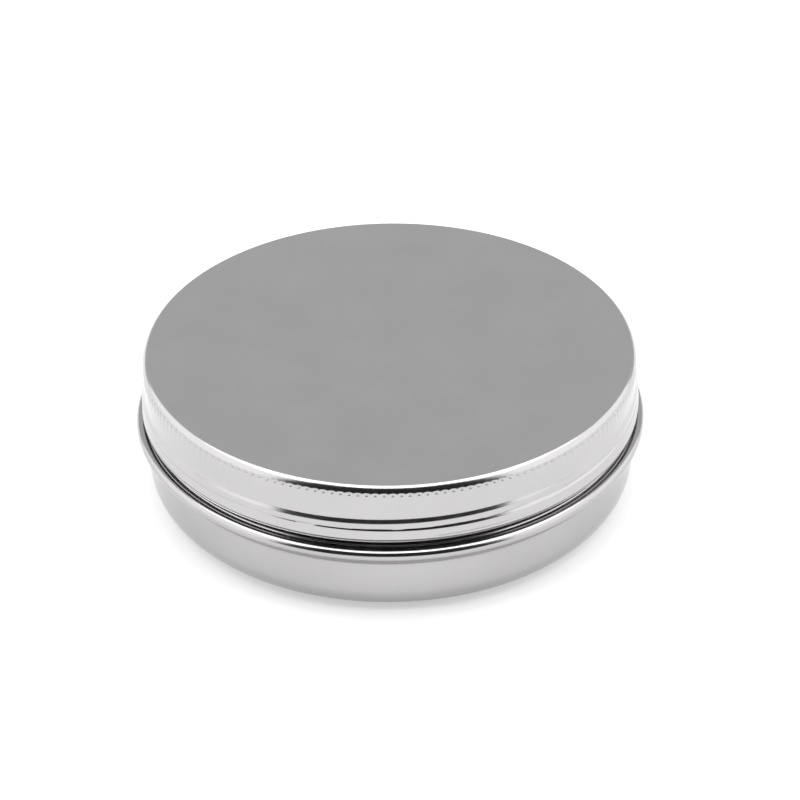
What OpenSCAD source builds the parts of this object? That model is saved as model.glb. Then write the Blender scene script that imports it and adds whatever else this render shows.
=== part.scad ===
/* [Tin] */
// Outside diameter of the lid at its knurled band
lid_d = 82.1; // [60:0.1:100]
// Thickness of the drawn aluminium sheet
sheet_t = 0.35; // [0.25:0.05:0.4]

/* [Can] */
// Height of the can from the table to the top of its rim
can_h = 23.25; // [20:0.05:45]
// How far the can's wall lies inside the lid's band
wall_inset = 0.5; // [0.3:0.05:0.8]
// Radius of the can's rounded bottom corner
foot_r = 4.5; // [3:0.1:5]
// Width of the flat ring that the can stands on
foot_w = 2.4; // [1.5:0.1:4]
// How far the bottom panel is pressed up
panel_rise = 0.6; // [0.4:0.05:1.2]
// Width of the slope between the standing ring and the panel
panel_slope = 1.6; // [1:0.1:3]
// Height from the crease in the wall to the middle of the bead
shoulder_h = 2.45; // [2:0.05:3.5]
// How far the bead stands out past the lid's band
bead_proud = 1.45; // [1.2:0.05:2]
// Radius of the rounded bead
bead_r = 1; // [0.8:0.05:1.2]
// Height of the neck from the top of the bead to the rim
neck_h = 10; // [9.6:0.1:12]
// Radius of the fillet between the bead and the neck
root_r = 0.4; // [0.3:0.05:0.5]
// Radius of the curled rim
curl_r = 0.6; // [0.5:0.05:0.8]
// Angle that the rim is curled through
curl_turn = 250; // [200:5:270]

/* [Lid] */
// Height of the lid from its lower edge to its top
lid_h = 10; // [9:0.05:10.5]
// Outside radius of the lid's top corner
corner_r = 1.3; // [0.8:0.05:1.6]
// Height of the flared lower part of the skirt
flare_h = 2.4; // [1.8:0.1:3]
// Radius of the rounded lower edge
edge_r = 0.12; // [0.05:0.01:0.12]
// How far the lower edge stands out past the thread's bulge
edge_proud = 0.05; // [0.03:0.01:0.1]

/* [Knurls] */
// Spacing of the knurls round the band
knurl_pitch = 1.387; // [1.2:0.01:2.4]
// Depth of one knurl
knurl_depth = 0.12; // [0.08:0.01:0.16]
// Height of the knurled band
knurl_h = 2.5; // [1.5:0.1:3]
// Plain height between the corner and the knurls
knurl_drop = 0.05; // [0.05:0.05:0.5]
// How far the knurls' lands lie inside the plain band above them
knurl_sink = 0.04; // [0.02:0.01:0.06]
// Share of each knurl taken by its flat land
knurl_land = 0.22; // [0.1:0.02:0.4]

/* [Thread] */
// Rise of the rolled thread in one turn
thread_pitch = 2.8; // [2.6:0.1:3]
// Depth below the rim at which the thread crosses the front
thread_drop = 5.6; // [5.4:0.1:6]
// Height of the thread on the neck
thread_h = 0.8; // [0.7:0.05:0.9]
// Width of the thread's crest on the neck
crest_w = 0.3; // [0.2:0.05:0.4]
// Width of the thread's root on the neck
root_w = 1; // [0.9:0.05:1.2]
// Width of the floor of the groove behind the thread
groove_w = 0.1; // [0.08:0.01:0.14]
// Turns of thread below the front crossing, on the neck
can_turns_down = 0.95; // [0.6:0.05:1]
// Turns of thread above the front crossing, on the neck
can_turns_up = 0.3; // [0.1:0.05:0.4]
// Extra turn at each end of the lid's channel
channel_lead = 0.14; // [0.12:0.02:0.2]
// Part of a turn over which the thread fades out
thread_fade = 0.12; // [0.06:0.02:0.2]

/* [Liner] */
// Thickness of the foam liner
liner_t = 1; // [0.6:0.1:1.4]
// Radius of the liner's upper edge, pressed into the lid's corner
liner_edge_r = 0.6; // [0.4:0.05:0.6]

/* [Fits] */
// Gap between the neck and the lid's skirt
neck_gap = 0.6; // [0.5:0.05:0.7]
// Gap between the neck's thread and the lid's channel
thread_gap = 0.2; // [0.18:0.02:0.3]
// Gap between the liner and the lid's skirt
liner_gap = 0.4; // [0.2:0.05:0.6]
// Gap left between the liner and the rim
seal_gap = 0.08; // [0.05:0.01:0.12]

/* [Hidden] */
$fn = 180;
ring_steps = 72;
arc_step = 15;
silver = [0.78, 0.77, 0.76];
foam_white = [0.93, 0.93, 0.91];

// Radii, from the lid inwards
lid_r = lid_d / 2;
lid_in_r = lid_r - sheet_t;
neck_r = lid_in_r - neck_gap;
wall_r = lid_r - wall_inset;
crest_r = neck_r + thread_h;
channel_r = crest_r + thread_gap;
channel_out_r = channel_r + sheet_t;
edge_out_r = channel_out_r + edge_proud;
liner_r = lid_in_r - liner_gap;
foot_in_r = wall_r - foot_r - foot_w;
panel_r = foot_in_r - panel_slope;

// Heights above the table
bead_z = can_h - neck_h - bead_r;
crease_z = bead_z - shoulder_h;
liner_z = can_h + seal_gap;
lid_in_z = liner_z + liner_t;
lid_top_z = lid_in_z + sheet_t;
lid_edge_z = lid_top_z - lid_h;
flare_z = lid_edge_z + flare_h;
knurl_top_z = lid_top_z - corner_r - knurl_drop;
knurl_low_z = knurl_top_z - knurl_h;
thread_z = can_h - thread_drop;

// Points of an arc about c, from angle a0 to angle a1
function arc(c, r, a0, a1) =
    let (n = max(1, ceil(abs(a1 - a0) / arc_step)))
    [for (i = [0 : n]) let (a = a0 + (a1 - a0) * i / n) c + r * [cos(a), sin(a)]];

// The same list read backwards
function turned(list) = [for (i = [len(list) - 1 : -1 : 0]) list[i]];

// A list of sections [r, z] swept along the thread's helix, from turn t0 to
// turn t1. The crest sinks to the sunk radius over the fade at each end.
module helix(section, t0, t1, sunk_r) {
    sides = len(section);
    rings = ceil((t1 - t0) * ring_steps);
    function height(t) = min(1, (t - t0) / thread_fade, (t1 - t) / thread_fade);
    function place(p, t) =
        let (r = min(p[0], sunk_r) + max(0, p[0] - sunk_r) * height(t), a = t * 360 - 90)
        [r * cos(a), r * sin(a), thread_z + p[1] + t * thread_pitch];
    points = [for (i = [0 : rings]) let (t = t0 + (t1 - t0) * i / rings)
        for (p = section) place(p, t)];
    walls = [for (i = [0 : rings - 1], j = [0 : sides - 1])
        let (a = i * sides + j, b = i * sides + (j + 1) % sides)
        each [[a, a + sides, b + sides], [a, b + sides, b]]];
    last = rings * sides;
    polyhedron(points, concat(
        walls,
        [[for (j = [0 : sides - 1]) j]],
        [[for (j = [sides - 1 : -1 : 0]) last + j]]
    ));
}

// Ridge rolled out of the neck, as an r and z section about the helix
ridge_foot_r = neck_r - sheet_t / 2;
ridge = [
    [ridge_foot_r, -root_w / 2],
    [ridge_foot_r, root_w / 2],
    [crest_r, crest_w / 2],
    [crest_r, -crest_w / 2],
];

// Groove that the same roll leaves inside the neck
groove_mouth_r = neck_r - 2 * sheet_t;
ridge_groove = [
    [groove_mouth_r, -crest_w / 2],
    [groove_mouth_r, crest_w / 2],
    [crest_r - sheet_t, groove_w / 2],
    [crest_r - sheet_t, -groove_w / 2],
];

channel_half = crest_w / 2 + thread_gap;
channel_foot = channel_half + (channel_r - lid_in_r);
channel_lip = channel_foot + thread_h / 2;
channel_mouth_r = lid_in_r - sheet_t;
bulge_lean = sheet_t / 4;

// Channel rolled into the lid's skirt, seen from inside and from outside
channel = [
    [channel_mouth_r, -channel_foot - sheet_t],
    [channel_mouth_r, channel_lip + sheet_t],
    [channel_r, channel_half],
    [channel_r, -channel_half],
];
bulge = [
    [lid_in_r, -channel_foot - sheet_t],
    [lid_in_r, channel_lip + sheet_t],
    [channel_out_r, channel_half + bulge_lean],
    [channel_out_r, -channel_half],
];

module can_body() {
    bead_c = [lid_r + bead_proud - bead_r, bead_z];
    root_x = neck_r + root_r;
    root_c = [root_x, bead_z + sqrt(pow(bead_r + root_r, 2) - pow(bead_c[0] - root_x, 2))];
    meet_a = atan2(root_c[1] - bead_c[1], root_c[0] - bead_c[0]);
    crease = [wall_r, crease_z];
    span = bead_c - crease;
    tangent_a = atan2(span[1], span[0]) - asin(bead_r / norm(span)) - 90;
    foot_c = [wall_r - foot_r, foot_r];
    curl_c = [neck_r - curl_r, can_h - curl_r];
    in_t = bead_r - sheet_t;
    outside = concat(
        [[0, panel_rise], [panel_r, panel_rise], [foot_in_r, 0]],
        arc(foot_c, foot_r, -90, 0),
        [crease],
        arc(bead_c, bead_r, tangent_a, meet_a),
        arc(root_c, root_r, meet_a + 180, 180),
        arc(curl_c, curl_r, 0, curl_turn)
    );
    inside = concat(
        [[0, panel_rise + sheet_t], [panel_r + sheet_t / 2, panel_rise + sheet_t]],
        [[foot_in_r + sheet_t / 2, sheet_t]],
        arc(foot_c, foot_r - sheet_t, -90, 0),
        [crease - [sheet_t, -sheet_t / 3]],
        arc(bead_c, in_t, tangent_a, meet_a),
        arc(root_c, root_r + sheet_t, meet_a + 180, 180),
        arc(curl_c, curl_r - sheet_t, 0, curl_turn)
    );
    color(silver) difference() {
        union() {
            rotate_extrude() polygon(concat(outside, turned(inside)));
            helix(ridge, -can_turns_down, can_turns_up, ridge_foot_r);
        }
        helix(ridge_groove, -can_turns_down, can_turns_up, groove_mouth_r);
    }
}

module liner() {
    top_c = [liner_r - liner_edge_r, lid_in_z - liner_edge_r];
    color(foam_white) rotate_extrude() polygon(concat(
        [[0, liner_z], [liner_r, liner_z]],
        arc(top_c, liner_edge_r, 0, 90),
        [[0, lid_in_z]]
    ));
}

// One knurl's share of the band's outline: a flat land, then a shallow flute
function knurl_outline() =
    let (count = round(PI * lid_d / knurl_pitch), share = 360 / count, top = lid_r - knurl_sink)
    [for (i = [0 : count - 1])
        for (p = [[0, 0], [knurl_land, 0], [(1 + knurl_land) / 2, knurl_depth]])
        let (a = (i + p[0]) * share, r = top - p[1]) r * [cos(a), sin(a)]];

module lid() {
    corner_c = [lid_r - corner_r, lid_top_z - corner_r];
    edge_c = [edge_out_r - edge_r, lid_edge_z + edge_r];
    flare_in_r = edge_out_r - sheet_t;
    cap = concat(
        [[0, lid_in_z], [corner_c[0], lid_in_z]],
        arc(corner_c, corner_r - sheet_t, 90, 0),
        [[lid_in_r, knurl_top_z], [lid_r, knurl_top_z]],
        arc(corner_c, corner_r, 0, 90),
        [[0, lid_top_z]]
    );
    skirt = concat(
        [[lid_r, knurl_low_z], [lid_in_r, knurl_low_z], [lid_in_r, flare_z]],
        [[flare_in_r, lid_edge_z + sheet_t], [flare_in_r, lid_edge_z]],
        arc(edge_c, edge_r, -90, 0),
        [[edge_out_r, lid_edge_z + sheet_t], [lid_r, flare_z]]
    );
    // Space outside the middle of the sheet, where the bulge may stand
    bulge_room = [
        [edge_out_r - sheet_t / 2, lid_edge_z + sheet_t / 2],
        [edge_out_r - sheet_t / 2, lid_edge_z + sheet_t],
        [lid_r - sheet_t / 2, flare_z],
        [lid_r - sheet_t / 2, knurl_low_z],
        [lid_r + thread_h, knurl_low_z],
        [lid_r + thread_h, lid_edge_z + sheet_t / 2],
    ];
    turns_down = can_turns_down + channel_lead;
    turns_up = can_turns_up + channel_lead;
    color(silver) difference() {
        union() {
            rotate_extrude() polygon(cap);
            translate([0, 0, knurl_low_z]) linear_extrude(knurl_top_z - knurl_low_z)
                difference() {
                    polygon(knurl_outline());
                    circle(r = lid_in_r);
                }
            rotate_extrude() polygon(skirt);
            intersection() {
                helix(bulge, -turns_down, turns_up, lid_in_r);
                rotate_extrude() polygon(bulge_room);
            }
        }
        helix(channel, -turns_down, turns_up, channel_mouth_r);
    }
}

can_body();
liner();
lid();
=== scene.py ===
from math import asin, atan2, ceil, cos, degrees, hypot, pi, radians, sin, sqrt

import bmesh
import bpy
from mathutils import Matrix, Vector


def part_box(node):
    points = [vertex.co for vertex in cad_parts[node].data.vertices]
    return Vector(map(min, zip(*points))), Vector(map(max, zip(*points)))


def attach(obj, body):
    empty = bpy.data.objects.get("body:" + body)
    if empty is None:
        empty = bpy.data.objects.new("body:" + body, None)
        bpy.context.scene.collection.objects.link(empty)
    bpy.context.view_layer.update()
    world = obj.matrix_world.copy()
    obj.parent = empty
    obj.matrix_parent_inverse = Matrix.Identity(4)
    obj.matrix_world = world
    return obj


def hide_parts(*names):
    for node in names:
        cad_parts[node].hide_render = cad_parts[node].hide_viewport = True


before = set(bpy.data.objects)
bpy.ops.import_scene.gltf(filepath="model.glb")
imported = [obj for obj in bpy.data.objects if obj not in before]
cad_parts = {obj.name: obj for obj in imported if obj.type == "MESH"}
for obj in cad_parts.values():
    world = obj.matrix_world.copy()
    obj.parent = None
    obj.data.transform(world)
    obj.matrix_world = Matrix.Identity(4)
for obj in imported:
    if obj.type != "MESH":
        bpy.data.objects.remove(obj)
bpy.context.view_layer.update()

# Lengths of the tin are in millimetres, and made metres once, when a mesh is finished.
MM = 0.001
_, can_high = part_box("can_body")
lid_low, lid_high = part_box("lid")
liner_low, liner_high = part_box("liner")
RIM_Z = can_high[2] / MM
BEAD_OUT_R = can_high[0] / MM
LID_TOP_Z = lid_high[2] / MM
LID_EDGE_Z = lid_low[2] / MM
LID_EDGE_R = (lid_high[0] - lid_low[0]) / MM / 2
LINER_R = (liner_high[0] - liner_low[0]) / MM / 2
LINER_LOW_Z = liner_low[2] / MM
LINER_TOP_Z = liner_high[2] / MM

# The drawn sheet, and the radii that the can and the lid share
SHEET = 0.35
LID_R = 41.05
NECK_GAP = 0.6
WALL_INSET = 0.5
LID_IN_R = LID_R - SHEET
NECK_R = LID_IN_R - NECK_GAP
WALL_R = LID_R - WALL_INSET

# Can: rounded foot round a raised base panel, wall, crease, bead, neck and curled rim
FOOT_R = 4.5
FOOT_RING = 2.4
PANEL_RISE = 0.6
PANEL_SLOPE = 1.6
PANEL_EASE = 0.5
NECK_H = 10
BEAD_R = 1
BEAD_C = (BEAD_OUT_R - BEAD_R, RIM_Z - NECK_H - BEAD_R)
SHOULDER_H = 2.45
CREASE_Z = BEAD_C[1] - SHOULDER_H
CREASE_EASE = 0.35
ROOT_R = 0.4
CURL_R = 0.6
CURL_TURN = 250

# Lid: its top corner has three bends, each (radius, angle it starts at, angle it ends at)
CORNER_BENDS = ((0.97, 90, 49), (1.82, 49, 17), (0.63, 17, 0))
CORNER_R = 1.3
CORNER_IN_R = CORNER_R - SHEET
CORNER_IN_C = (LID_R - CORNER_R, LID_TOP_Z - CORNER_R)
EDGE_R = 0.12

# The skirt steps out at the top of its flare, then leans out as far as its lower edge
FLARE_H = 2.47
FLARE_STEP = 0.4
FLARE_LEAN = 0.2
FLARE_Z = LID_EDGE_Z + FLARE_H
FLARE_R = LID_EDGE_R - FLARE_LEAN

# Knurls: shallow flutes with arched tops, each with a small dimple, fading downwards
KNURLS = 186
KNURL_DEPTH = 0.16
KNURL_TOP_Z = LID_TOP_Z - 0.98
KNURL_LOW_Z = LID_TOP_Z - 3.5
KNURL_RAMP = 0.2
KNURL_FADE = 1.7
KNURL_ARCH = 0.22
KNURL_TURN = radians(0.5)
DIMPLE_Z = LID_TOP_Z - 1.42
DIMPLE_HALF = 0.2
DIMPLE_DEPTH = 0.12

# Thread, rising to the right as seen from the front, where its height is THREAD_Z
PITCH = 2.8
THREAD_Z = RIM_Z - 5.6
THREAD_H = 0.8
THREAD_GAP = 0.2
RIDGE_R = NECK_R + THREAD_H
CHANNEL_R = RIDGE_R + THREAD_GAP
RIDGE_TURNS = (-0.95, 0.3)
CHANNEL_TURNS = (-1.09, 0.44)
CHANNEL_TOP_Z = THREAD_Z + 2.9
THREAD_FADE = 0.12
CREST_ROUND = 0.14
CREASE_ROUND = 0.07

# The channel's back on the lid's outside, whose crest grows by the gain in each turn down
BULGE_FOOT_R = LID_R - 0.1
BULGE_R = LID_R + 0.36
BULGE_GAIN = 0.15

# Section of each roll: (reach, half of the crest) below the helix, then above it
RIDGE_SECTION = ((0.5, 0.15), (0.5, 0.15))
GROOVE_SECTION = ((0.4, 0.05), (0.4, 0.05))
CHANNEL_SECTION = ((1.1, 0.35), (1.5, 0.35))
BULGE_SECTION = ((0.67, 0.5), (1.52, 0.43))

# Liner: a soft upper edge, a small lower one, and the mark that the rim presses into it
LINER_EDGE_R = 0.6
LINER_LOW_R = 0.15
MARK_HALF = 0.7
MARK_DEPTH = 0.14
MARK_STEPS = 8

# Mesh fineness: steps round the tin, and heights of the rows
LID_STEPS = KNURLS * 4
CAN_STEPS = 279
LINER_STEPS = 180
FLAT_ROW = 8
DIMPLE_ROW = 0.06
KNURL_ROW = 0.45
BAND_ROW = 1
THREAD_ROW = 0.13
THREAD_IN_ROW = THREAD_ROW * 1.6
WELD = 1e-7
SHARP_ANGLE = radians(50)

# Finishes: a noise has so many features to the metre, and a relief is a height in metres
# The can is the lid's metal painted darker: painted shade for the shadowed floor that its wall
# reflects near the foot
CAN_PAINTED_SHADE_TONES = ((0.425, 0.417, 0.419), (0.449, 0.441, 0.443))
LID_SHADES = ((0.464, 0.456, 0.458), (0.488, 0.480, 0.482))
FOAM_SHADES = ((0.86, 0.86, 0.83), (0.93, 0.93, 0.91))
METAL_ROUGHNESS = (0.15, 0.19)
METAL_CLOUDS = 90
METAL_SMEARS = 420
METAL_GRAIN = 5200
METAL_RELIEF = 0.000012
METAL_BUMP = 0.12
FOAM_ROUGHNESS = 0.85
FOAM_TONES = 260
FOAM_CELLS = 2600
FOAM_RELIEF = 0.00008
FOAM_BUMP = 0.6
NOISE_LOW = 0.3
NOISE_HIGH = 0.7

# Studio, in metres
WORLD_GREY = (0.72, 0.72, 0.72)
FLOOR_REACH = 2.5
FLOOR_DROP = 0.00002
FLOOR_STEPS = 96
FLOOR_WHITE = (0.66, 0.66, 0.66)
FLOOR_GLOW = 0.40
CARD_BLACK = (0.03, 0.03, 0.03)
CARD_REACH = 1.25
CARD_HALF_TURN = radians(47)
CARD_TOP = radians(64)
CARD_ROWS = 12
CARD_STEPS = 24
OVERHEAD_Z = 1.2
OVERHEAD_SIZE = (2.0, 1.17)
OVERHEAD_RADIANCE = 2.5
SIDE_X = 1.3
SIDE_Z = 0.78
SIDE_SIZE = (2.18, 1.5)
SIDE_RADIANCE = 1.0

# Camera at the photograph's view, aimed at a point inside the tin
CAMERA_TILT = radians(33.61)
CAMERA_ROLL = radians(-0.685)
CAMERA_AIM = Vector((0.001646, 0, 0.01425))
CAMERA_REACH = 0.6568
CAMERA_LENS = 176.4
CAMERA_SENSOR = 36


# Outlines, as lists of (radius, height)

def arc(centre, radius, start, end, steps):
    """Points of an arc about a centre, from one angle to another in degrees."""
    points = []
    for i in range(steps + 1):
        angle = radians(start + (end - start) * i / steps)
        points.append((centre[0] + radius * cos(angle), centre[1] + radius * sin(angle)))
    return points


def line(start, end, row):
    """Points between two ends, without the ends, about one row apart."""
    span = hypot(end[0] - start[0], end[1] - start[1])
    count = max(1, ceil(span / row))
    return [
        (start[0] + (end[0] - start[0]) * i / count, start[1] + (end[1] - start[1]) * i / count)
        for i in range(1, count)
    ]


def eased(before, corner, after, reach, steps=4):
    """A corner of the outline, rounded over a reach on each side."""
    ends = []
    for other in (before, after):
        span = hypot(other[0] - corner[0], other[1] - corner[1])
        share = min(0.5, reach / span)
        ends.append((
            corner[0] + (other[0] - corner[0]) * share,
            corner[1] + (other[1] - corner[1]) * share,
        ))
    points = []
    for i in range(steps + 1):
        t = i / steps
        near, middle, far = (1 - t) ** 2, 2 * t * (1 - t), t ** 2
        points.append((
            near * ends[0][0] + middle * corner[0] + far * ends[1][0],
            near * ends[0][1] + middle * corner[1] + far * ends[1][1],
        ))
    return points


def corner_curve():
    """The lid's top corner: tight at the top, longer below, ending at the band."""
    points = [(0, 0)]
    for radius, start, end in CORNER_BENDS:
        last, angle = points[-1], radians(start)
        centre = (last[0] - radius * cos(angle), last[1] - radius * sin(angle))
        points += arc(centre, radius, start, end, steps=6)[1:]
    shift = LID_R - points[-1][0]
    return [(r + shift, z + LID_TOP_Z) for r, z in points]


def lid_outline():
    corner = corner_curve()
    edge_c = (LID_EDGE_R - EDGE_R, LID_EDGE_Z + EDGE_R)
    low_z = LID_EDGE_Z + SHEET
    dimple_low_z = DIMPLE_Z - 1.5 * DIMPLE_HALF

    outside = [(0, LID_TOP_Z)] + line((0, LID_TOP_Z), corner[0], FLAT_ROW) + corner
    stops = (corner[-1][1], dimple_low_z, KNURL_LOW_Z, CHANNEL_TOP_Z, low_z)
    rows = (DIMPLE_ROW, KNURL_ROW, BAND_ROW, THREAD_ROW)
    for top, low, row in zip(stops, stops[1:], rows):
        outside += line((LID_R, top), (LID_R, low), row) + [(LID_R, low)]
    outside += arc(edge_c, EDGE_R, 0, -90, steps=4)

    inside = [(LID_EDGE_R - SHEET, LID_EDGE_Z), (LID_IN_R, low_z)]
    inside += line((LID_IN_R, low_z), (LID_IN_R, CHANNEL_TOP_Z), THREAD_IN_ROW)
    inside += [(LID_IN_R, CHANNEL_TOP_Z)]
    inside += line((LID_IN_R, CHANNEL_TOP_Z), (LID_IN_R, CORNER_IN_C[1]), 2 * BAND_ROW)
    inside += arc(CORNER_IN_C, CORNER_IN_R, 0, 90, steps=6)
    inside += [(0, LID_TOP_Z - SHEET)]
    return outside + inside


def can_outline():
    foot_c = (WALL_R - FOOT_R, FOOT_R)
    ring_r = foot_c[0] - FOOT_RING
    crease = (WALL_R, CREASE_Z)
    root_x = NECK_R + ROOT_R
    root_c = (root_x, BEAD_C[1] + sqrt((BEAD_R + ROOT_R) ** 2 - (BEAD_C[0] - root_x) ** 2))
    curl_c = (NECK_R - CURL_R, RIM_Z - CURL_R)
    # Angles at which the bead meets the root's fillet and leaves for the crease
    meet = degrees(atan2(root_c[1] - BEAD_C[1], root_c[0] - BEAD_C[0]))
    span = (BEAD_C[0] - crease[0], BEAD_C[1] - crease[1])
    leave = degrees(atan2(span[1], span[0]) - asin(BEAD_R / hypot(*span))) - 90

    axis, panel, ring = (0, PANEL_RISE), (ring_r - PANEL_SLOPE, PANEL_RISE), (ring_r, 0)
    bead_foot = arc(BEAD_C, BEAD_R, leave, leave, steps=1)[0]
    outside = [axis] + line(axis, panel, FLAT_ROW)
    outside += eased(axis, panel, ring, PANEL_EASE)
    outside += eased(panel, ring, (foot_c[0], 0), PANEL_EASE)
    outside += arc(foot_c, FOOT_R, -90, 0, steps=16)
    outside += line((WALL_R, FOOT_R), crease, 1.5 * BAND_ROW)
    outside += eased((WALL_R, FOOT_R), crease, bead_foot, CREASE_EASE)
    outside += arc(BEAD_C, BEAD_R, leave, meet, steps=22)
    outside += arc(root_c, ROOT_R, meet + 180, 180, steps=8)[1:]
    outside += line((NECK_R, root_c[1]), (NECK_R, curl_c[1]), THREAD_ROW)
    outside += arc(curl_c, CURL_R, 0, CURL_TURN, steps=16)

    axis = (0, PANEL_RISE + SHEET)
    panel = (panel[0] + SHEET / 2, PANEL_RISE + SHEET)
    ring = (ring_r + SHEET / 2, SHEET)
    crease = (WALL_R - SHEET, CREASE_Z + SHEET / 3)
    neck_in_r = NECK_R - SHEET
    bead_foot = arc(BEAD_C, BEAD_R - SHEET, leave, leave, steps=1)[0]
    inside = [axis]
    inside += eased(axis, panel, ring, PANEL_EASE)
    inside += eased(panel, ring, (foot_c[0], SHEET), PANEL_EASE)
    inside += arc(foot_c, FOOT_R - SHEET, -90, 0, steps=12)
    inside += eased((WALL_R - SHEET, FOOT_R), crease, bead_foot, CREASE_EASE)
    inside += arc(BEAD_C, BEAD_R - SHEET, leave, meet, steps=14)
    inside += arc(root_c, ROOT_R + SHEET, meet + 180, 180, steps=6)[1:]
    inside += line((neck_in_r, root_c[1]), (neck_in_r, curl_c[1]), THREAD_ROW)
    inside += arc(curl_c, CURL_R - SHEET, 0, CURL_TURN, steps=10)
    inside.reverse()
    return outside + inside


def liner_outline():
    rim = NECK_R - CURL_R
    top_c = (LINER_R - LINER_EDGE_R, LINER_TOP_Z - LINER_EDGE_R)
    low_c = (LINER_R - LINER_LOW_R, LINER_LOW_Z + LINER_LOW_R)
    low_axis, top_axis = (0, LINER_LOW_Z), (0, LINER_TOP_Z)
    outline = [low_axis] + line(low_axis, (rim - MARK_HALF, LINER_LOW_Z), 0.75 * FLAT_ROW)
    for i in range(MARK_STEPS + 1):
        share = i / MARK_STEPS
        r = rim + MARK_HALF * (2 * share - 1)
        if r < low_c[0]:
            outline.append((r, LINER_LOW_Z + MARK_DEPTH * sin(pi * share) ** 2))
    outline += arc(low_c, LINER_LOW_R, -90, 0, steps=3)
    outline += arc(top_c, LINER_EDGE_R, 0, 90, steps=6)
    outline += line((top_c[0], LINER_TOP_Z), top_axis, FLAT_ROW) + [top_axis]
    return outline


# Radii of the rolled walls, at a height and a turn from the front

def smooth_max(a, b, rounding):
    """The larger of two values, with the crease between them rounded."""
    blend = max(rounding - abs(a - b), 0) / rounding
    return max(a, b) + blend * blend * rounding / 4


def smooth_min(a, b, rounding):
    return -smooth_max(-a, -b, rounding)


def rolled(turn, z, foot, crest, section, ends, gain=0):
    """Radius of a roll that runs along the helix between its two ends, in turns.

    It overlaps itself for part of a turn, so a turn of the tin meets it up to twice.
    """
    low, high = section
    best = foot
    for whole in (-1, 0):
        t = turn + whole
        fade = min(1, (t - ends[0]) / THREAD_FADE, (ends[1] - t) / THREAD_FADE)
        if fade <= 0:
            continue
        rise = z - (THREAD_Z + t * PITCH)
        below = (rise + low[0]) / (low[0] - low[1])
        above = (high[0] - rise) / (high[0] - high[1])
        height = smooth_min(smooth_min(below, above, CREST_ROUND), 1, CREST_ROUND)
        best = max(best, foot + (crest - gain * t - foot) * fade * height)
    return best


def flare(z, inset):
    """Radius of the lid's skirt, which widens towards its lower edge."""
    fall = max(0, FLARE_Z - z)
    step = min(1, fall / FLARE_STEP)
    lean = min(1, fall / (FLARE_Z - LID_EDGE_Z - SHEET))
    return LID_R - inset + (FLARE_R - LID_R) * step + (LID_EDGE_R - FLARE_R) * lean


def skirt_out(turn, z):
    bulge = rolled(turn, z, BULGE_FOOT_R, BULGE_R, BULGE_SECTION, CHANNEL_TURNS, BULGE_GAIN)
    return smooth_max(flare(z, 0), bulge, CREASE_ROUND)


def skirt_in(turn, z):
    channel = rolled(turn, z, LID_IN_R - SHEET, CHANNEL_R, CHANNEL_SECTION, CHANNEL_TURNS)
    return smooth_max(flare(z, SHEET), channel, CREASE_ROUND)


def neck_out(turn, z):
    ridge = rolled(turn, z, NECK_R - SHEET / 2, RIDGE_R, RIDGE_SECTION, RIDGE_TURNS)
    return smooth_max(NECK_R, ridge, CREASE_ROUND)


def neck_in(turn, z):
    groove_r = RIDGE_R - SHEET
    groove = rolled(turn, z, NECK_R - 2 * SHEET, groove_r, GROOVE_SECTION, RIDGE_TURNS)
    return smooth_max(NECK_R - SHEET, groove, CREASE_ROUND)


def knurl(turn, z):
    """How deep a knurl and its dimple are cut."""
    flute = 0.5 + 0.5 * cos(KNURLS * (turn * 2 * pi - KNURL_TURN))
    top = (KNURL_TOP_Z - KNURL_ARCH * (1 - flute) - z) / KNURL_RAMP
    low = (z - KNURL_LOW_Z) / KNURL_FADE
    end = max(0, min(1, top, low))
    end_smooth = end * end * (3 - 2 * end)
    dimple = max(0, 1 - ((z - DIMPLE_Z) / DIMPLE_HALF) ** 2)
    return flute ** 2 * (KNURL_DEPTH * end_smooth + DIMPLE_DEPTH * dimple)


# Pieces

def spun(outline, steps):
    """A closed outline, from the axis and back to it, spun into a shell."""
    work = bmesh.new()
    verts = [work.verts.new((r, 0, z)) for r, z in outline]
    edges = [work.edges.new(pair) for pair in zip(verts, verts[1:])]
    bmesh.ops.spin(
        work, geom=verts + edges, cent=(0, 0, 0), axis=(0, 0, 1),
        angle=2 * pi, steps=steps, use_merge=True, use_duplicate=False,
    )
    bmesh.ops.remove_doubles(work, verts=work.verts, dist=WELD)
    return work


def place_of(vert):
    """Radius, height, and turns from the front of the tin, from -0.5 to 0.5."""
    x, y, z = vert.co
    return hypot(x, y), z, atan2(x, -y) / (2 * pi)


def move_to_radius(vert, radius):
    share = radius / hypot(vert.co.x, vert.co.y)
    vert.co.x *= share
    vert.co.y *= share


def finished(name, work, body, node, material):
    """The mesh in metres, outward, shaded, riding on its body in place of its node."""
    bmesh.ops.scale(work, vec=(MM, MM, MM), verts=work.verts)
    bmesh.ops.recalc_face_normals(work, faces=work.faces)
    mesh = bpy.data.meshes.new(name)
    work.to_mesh(mesh)
    work.free()
    mesh.shade_smooth()
    mesh.set_sharp_from_angle(angle=SHARP_ANGLE)
    mesh.materials.append(material)
    piece = bpy.data.objects.new(name, mesh)
    bpy.context.scene.collection.objects.link(piece)
    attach(piece, body)
    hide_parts(node)


def make_can(material):
    work = spun(can_outline(), CAN_STEPS)
    neck_low, neck_top = BEAD_C[1] + BEAD_R + ROOT_R, RIM_Z - 2 * CURL_R
    for vert in work.verts:
        radius, z, turn = place_of(vert)
        if neck_low < z < neck_top and radius > NECK_R - 2 * SHEET:
            shape = neck_out if radius > NECK_R - SHEET / 2 else neck_in
            move_to_radius(vert, shape(turn, z))
    finished("can_shell", work, "can", "can_body", material)


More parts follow.
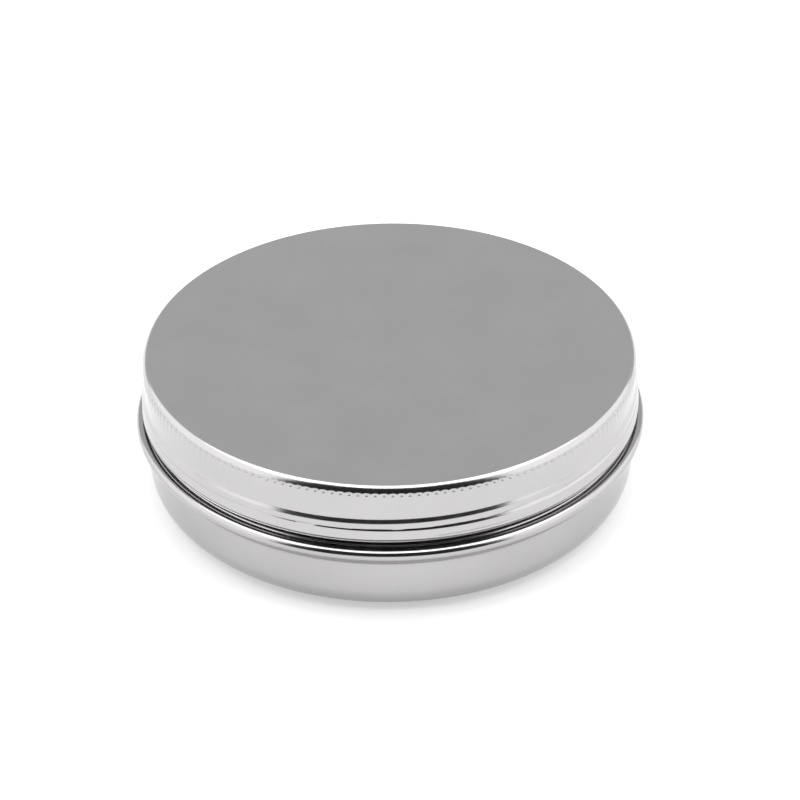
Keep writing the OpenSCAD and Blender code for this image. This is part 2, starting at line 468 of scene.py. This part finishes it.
def make_lid(material):
    work = spun(lid_outline(), LID_STEPS)
    skirt_low = LID_EDGE_Z + SHEET - WELD
    for vert in work.verts:
        radius, z, turn = place_of(vert)
        if radius < CORNER_IN_C[0] or z < skirt_low:
            continue
        if radius < LID_R - SHEET / 2 and z < CORNER_IN_C[1] + WELD:
            move_to_radius(vert, skirt_in(turn, z))
        elif z < KNURL_LOW_Z and abs(radius - LID_R) < SHEET / 2:
            move_to_radius(vert, skirt_out(turn, z))
        elif radius > LID_R - SHEET and z <= KNURL_TOP_Z:
            move_to_radius(vert, radius - knurl(turn, z))
    finished("lid_shell", work, "lid", "lid", material)


def make_liner(material):
    work = spun(liner_outline(), LINER_STEPS)
    finished("foam_liner", work, "liner", "liner", material)


# Finishes

def new_material(name):
    material = bpy.data.materials.new(name)
    material.use_nodes = True
    nodes, links = material.node_tree.nodes, material.node_tree.links
    return material, nodes, links, nodes["Principled BSDF"]


def noise(nodes, links, scale, detail):
    """A noise texture on the object's own coordinates."""
    place = nodes.new("ShaderNodeTexCoord")
    texture = nodes.new("ShaderNodeTexNoise")
    texture.inputs["Scale"].default_value = scale
    texture.inputs["Detail"].default_value = detail
    links.new(place.outputs["Object"], texture.inputs["Vector"])
    return texture.outputs["Fac"]


def shades(nodes, links, source, dark, light):
    """A noise turned into colours between two shades."""
    ramp = nodes.new("ShaderNodeValToRGB")
    ramp.color_ramp.elements[0].position = NOISE_LOW
    ramp.color_ramp.elements[0].color = (*dark, 1)
    ramp.color_ramp.elements[1].position = NOISE_HIGH
    ramp.color_ramp.elements[1].color = (*light, 1)
    links.new(source, ramp.inputs["Fac"])
    return ramp.outputs["Color"]


def mapped(nodes, links, source, low, high):
    """A noise turned into values between two ends."""
    spread = nodes.new("ShaderNodeMapRange")
    spread.inputs["From Min"].default_value = NOISE_LOW
    spread.inputs["From Max"].default_value = NOISE_HIGH
    spread.inputs["To Min"].default_value = low
    spread.inputs["To Max"].default_value = high
    links.new(source, spread.inputs["Value"])
    return spread.outputs["Result"]


def bump(nodes, links, source, strength, distance, shader):
    relief = nodes.new("ShaderNodeBump")
    relief.inputs["Strength"].default_value = strength
    relief.inputs["Distance"].default_value = distance
    links.new(source, relief.inputs["Height"])
    links.new(relief.outputs["Normal"], shader.inputs["Normal"])


def satin_aluminium(name, metal_shades):
    """Drawn sheet: faint clouding in its colour and gloss, and a very fine grain."""
    material, nodes, links, shader = new_material(name)
    shader.inputs["Metallic"].default_value = 1
    clouds = noise(nodes, links, METAL_CLOUDS, detail=3)
    grain = noise(nodes, links, METAL_GRAIN, detail=2)
    smears = noise(nodes, links, METAL_SMEARS, detail=4)
    links.new(shades(nodes, links, clouds, *metal_shades), shader.inputs["Base Color"])
    links.new(mapped(nodes, links, smears, *METAL_ROUGHNESS), shader.inputs["Roughness"])
    bump(nodes, links, grain, METAL_BUMP, METAL_RELIEF, shader)
    return material


def white_foam(name):
    """Soft closed-cell foam: matt, slightly warm, with fine cells."""
    material, nodes, links, shader = new_material(name)
    shader.inputs["Roughness"].default_value = FOAM_ROUGHNESS
    tones = noise(nodes, links, FOAM_TONES, detail=4)
    cells = noise(nodes, links, FOAM_CELLS, detail=5)
    links.new(shades(nodes, links, tones, *FOAM_SHADES), shader.inputs["Base Color"])
    bump(nodes, links, cells, FOAM_BUMP, FOAM_RELIEF, shader)
    return material


def matt_paint(name, colour):
    material, nodes, links, shader = new_material(name)
    shader.inputs["Base Color"].default_value = (*colour, 1)
    shader.inputs["Roughness"].default_value = 1
    shader.inputs["Specular IOR Level"].default_value = 0
    return material, nodes, links, shader


def glowing_floor(name):
    """White floor, with a soft glow in what the eye, metal and glass see of it."""
    material, nodes, links, shader = matt_paint(name, FLOOR_WHITE)
    path = nodes.new("ShaderNodeLightPath")
    seen = path.outputs["Is Camera Ray"]
    for ray in ("Is Glossy Ray", "Is Transmission Ray"):
        either = nodes.new("ShaderNodeMath")
        either.operation = "MAXIMUM"
        links.new(seen, either.inputs[0])
        links.new(path.outputs[ray], either.inputs[1])
        seen = either.outputs[0]
    level = nodes.new("ShaderNodeMath")
    level.operation = "MULTIPLY"
    level.inputs[1].default_value = FLOOR_GLOW
    links.new(seen, level.inputs[0])
    glow = nodes.new("ShaderNodeEmission")
    links.new(level.outputs[0], glow.inputs["Strength"])
    total = nodes.new("ShaderNodeAddShader")
    links.new(shader.outputs["BSDF"], total.inputs[0])
    links.new(glow.outputs["Emission"], total.inputs[1])
    links.new(total.outputs["Shader"], nodes["Material Output"].inputs["Surface"])
    return material


# Studio

def staged(name, work, material):
    """A mesh of the studio, which isn't part of the tin."""
    mesh = bpy.data.meshes.new(name)
    work.to_mesh(mesh)
    work.free()
    mesh.materials.append(material)
    card = bpy.data.objects.new(name, mesh)
    bpy.context.scene.collection.objects.link(card)
    return card


def make_floor():
    work = bmesh.new()
    bmesh.ops.create_circle(work, cap_ends=True, segments=FLOOR_STEPS, radius=FLOOR_REACH)
    bmesh.ops.translate(work, vec=(0, 0, -FLOOR_DROP), verts=work.verts)
    staged("floor", work, glowing_floor("floor_white"))


def make_dark_card():
    """The dark side of the room, behind the camera, that the metal shows in its bands."""
    work = bmesh.new()
    rise = [CARD_TOP * i / CARD_ROWS for i in range(CARD_ROWS + 1)]
    verts = [work.verts.new((0, -CARD_REACH * cos(a), CARD_REACH * sin(a))) for a in rise]
    edges = [work.edges.new(pair) for pair in zip(verts, verts[1:])]
    start = Matrix.Rotation(-CARD_HALF_TURN, 3, "Z")
    bmesh.ops.rotate(work, cent=(0, 0, 0), matrix=start, verts=verts)
    bmesh.ops.spin(
        work, geom=verts + edges, cent=(0, 0, 0), axis=(0, 0, 1),
        angle=2 * CARD_HALF_TURN, steps=CARD_STEPS, use_merge=False, use_duplicate=False,
    )
    card = staged("dark_card", work, matt_paint("card_black", CARD_BLACK)[0])
    card.visible_camera = False


def soft_panel(name, centre, aim, size, radiance):
    """A rectangular lamp of one radiance, facing a point and unseen by the camera."""
    wide, high = size
    light = bpy.data.lights.new(name, "AREA")
    light.shape = "RECTANGLE"
    light.size = wide
    light.size_y = high
    light.energy = radiance * pi * wide * high
    lamp = bpy.data.objects.new(name, light)
    facing = (Vector(aim) - Vector(centre)).to_track_quat("-Z", "Y").to_matrix().to_4x4()
    lamp.matrix_world = Matrix.Translation(centre) @ facing
    lamp.visible_camera = False
    bpy.context.scene.collection.objects.link(lamp)


def make_lights():
    soft_panel("overhead", (0, 0, OVERHEAD_Z), (0, 0, 0), OVERHEAD_SIZE, OVERHEAD_RADIANCE)
    for name, x in (("left_panel", -SIDE_X), ("right_panel", SIDE_X)):
        soft_panel(name, (x, 0, SIDE_Z), (0, 0, SIDE_Z), SIDE_SIZE, SIDE_RADIANCE)
    world = bpy.data.worlds.new("studio")
    world.use_nodes = True
    world.node_tree.nodes["Background"].inputs["Color"].default_value = (*WORLD_GREY, 1)
    bpy.context.scene.world = world


def place_camera():
    data = bpy.data.cameras.new("camera")
    data.sensor_width = CAMERA_SENSOR
    data.lens = CAMERA_LENS
    camera = bpy.data.objects.new("camera", data)
    forward = Vector((0, cos(CAMERA_TILT), -sin(CAMERA_TILT)))
    up = Vector((0, sin(CAMERA_TILT), cos(CAMERA_TILT)))
    side = Vector((1, 0, 0))
    rolled_side = side * cos(CAMERA_ROLL) + up * sin(CAMERA_ROLL)
    rolled_up = up * cos(CAMERA_ROLL) - side * sin(CAMERA_ROLL)
    facing = Matrix((rolled_side, rolled_up, -forward)).transposed().to_4x4()
    camera.matrix_world = Matrix.Translation(CAMERA_AIM - forward * CAMERA_REACH) @ facing
    bpy.context.scene.collection.objects.link(camera)
    bpy.context.scene.camera = camera


bpy.context.scene.view_settings.view_transform = "Standard"
place_camera()
make_floor()
make_dark_card()
make_lights()
# The can's finish carries painted shade: its colour is set below the lid's, though both are one
# metal
make_can(satin_aluminium("can_satin_painted_shade", CAN_PAINTED_SHADE_TONES))
make_lid(satin_aluminium("lid_satin", LID_SHADES))
make_liner(white_foam("liner_white"))
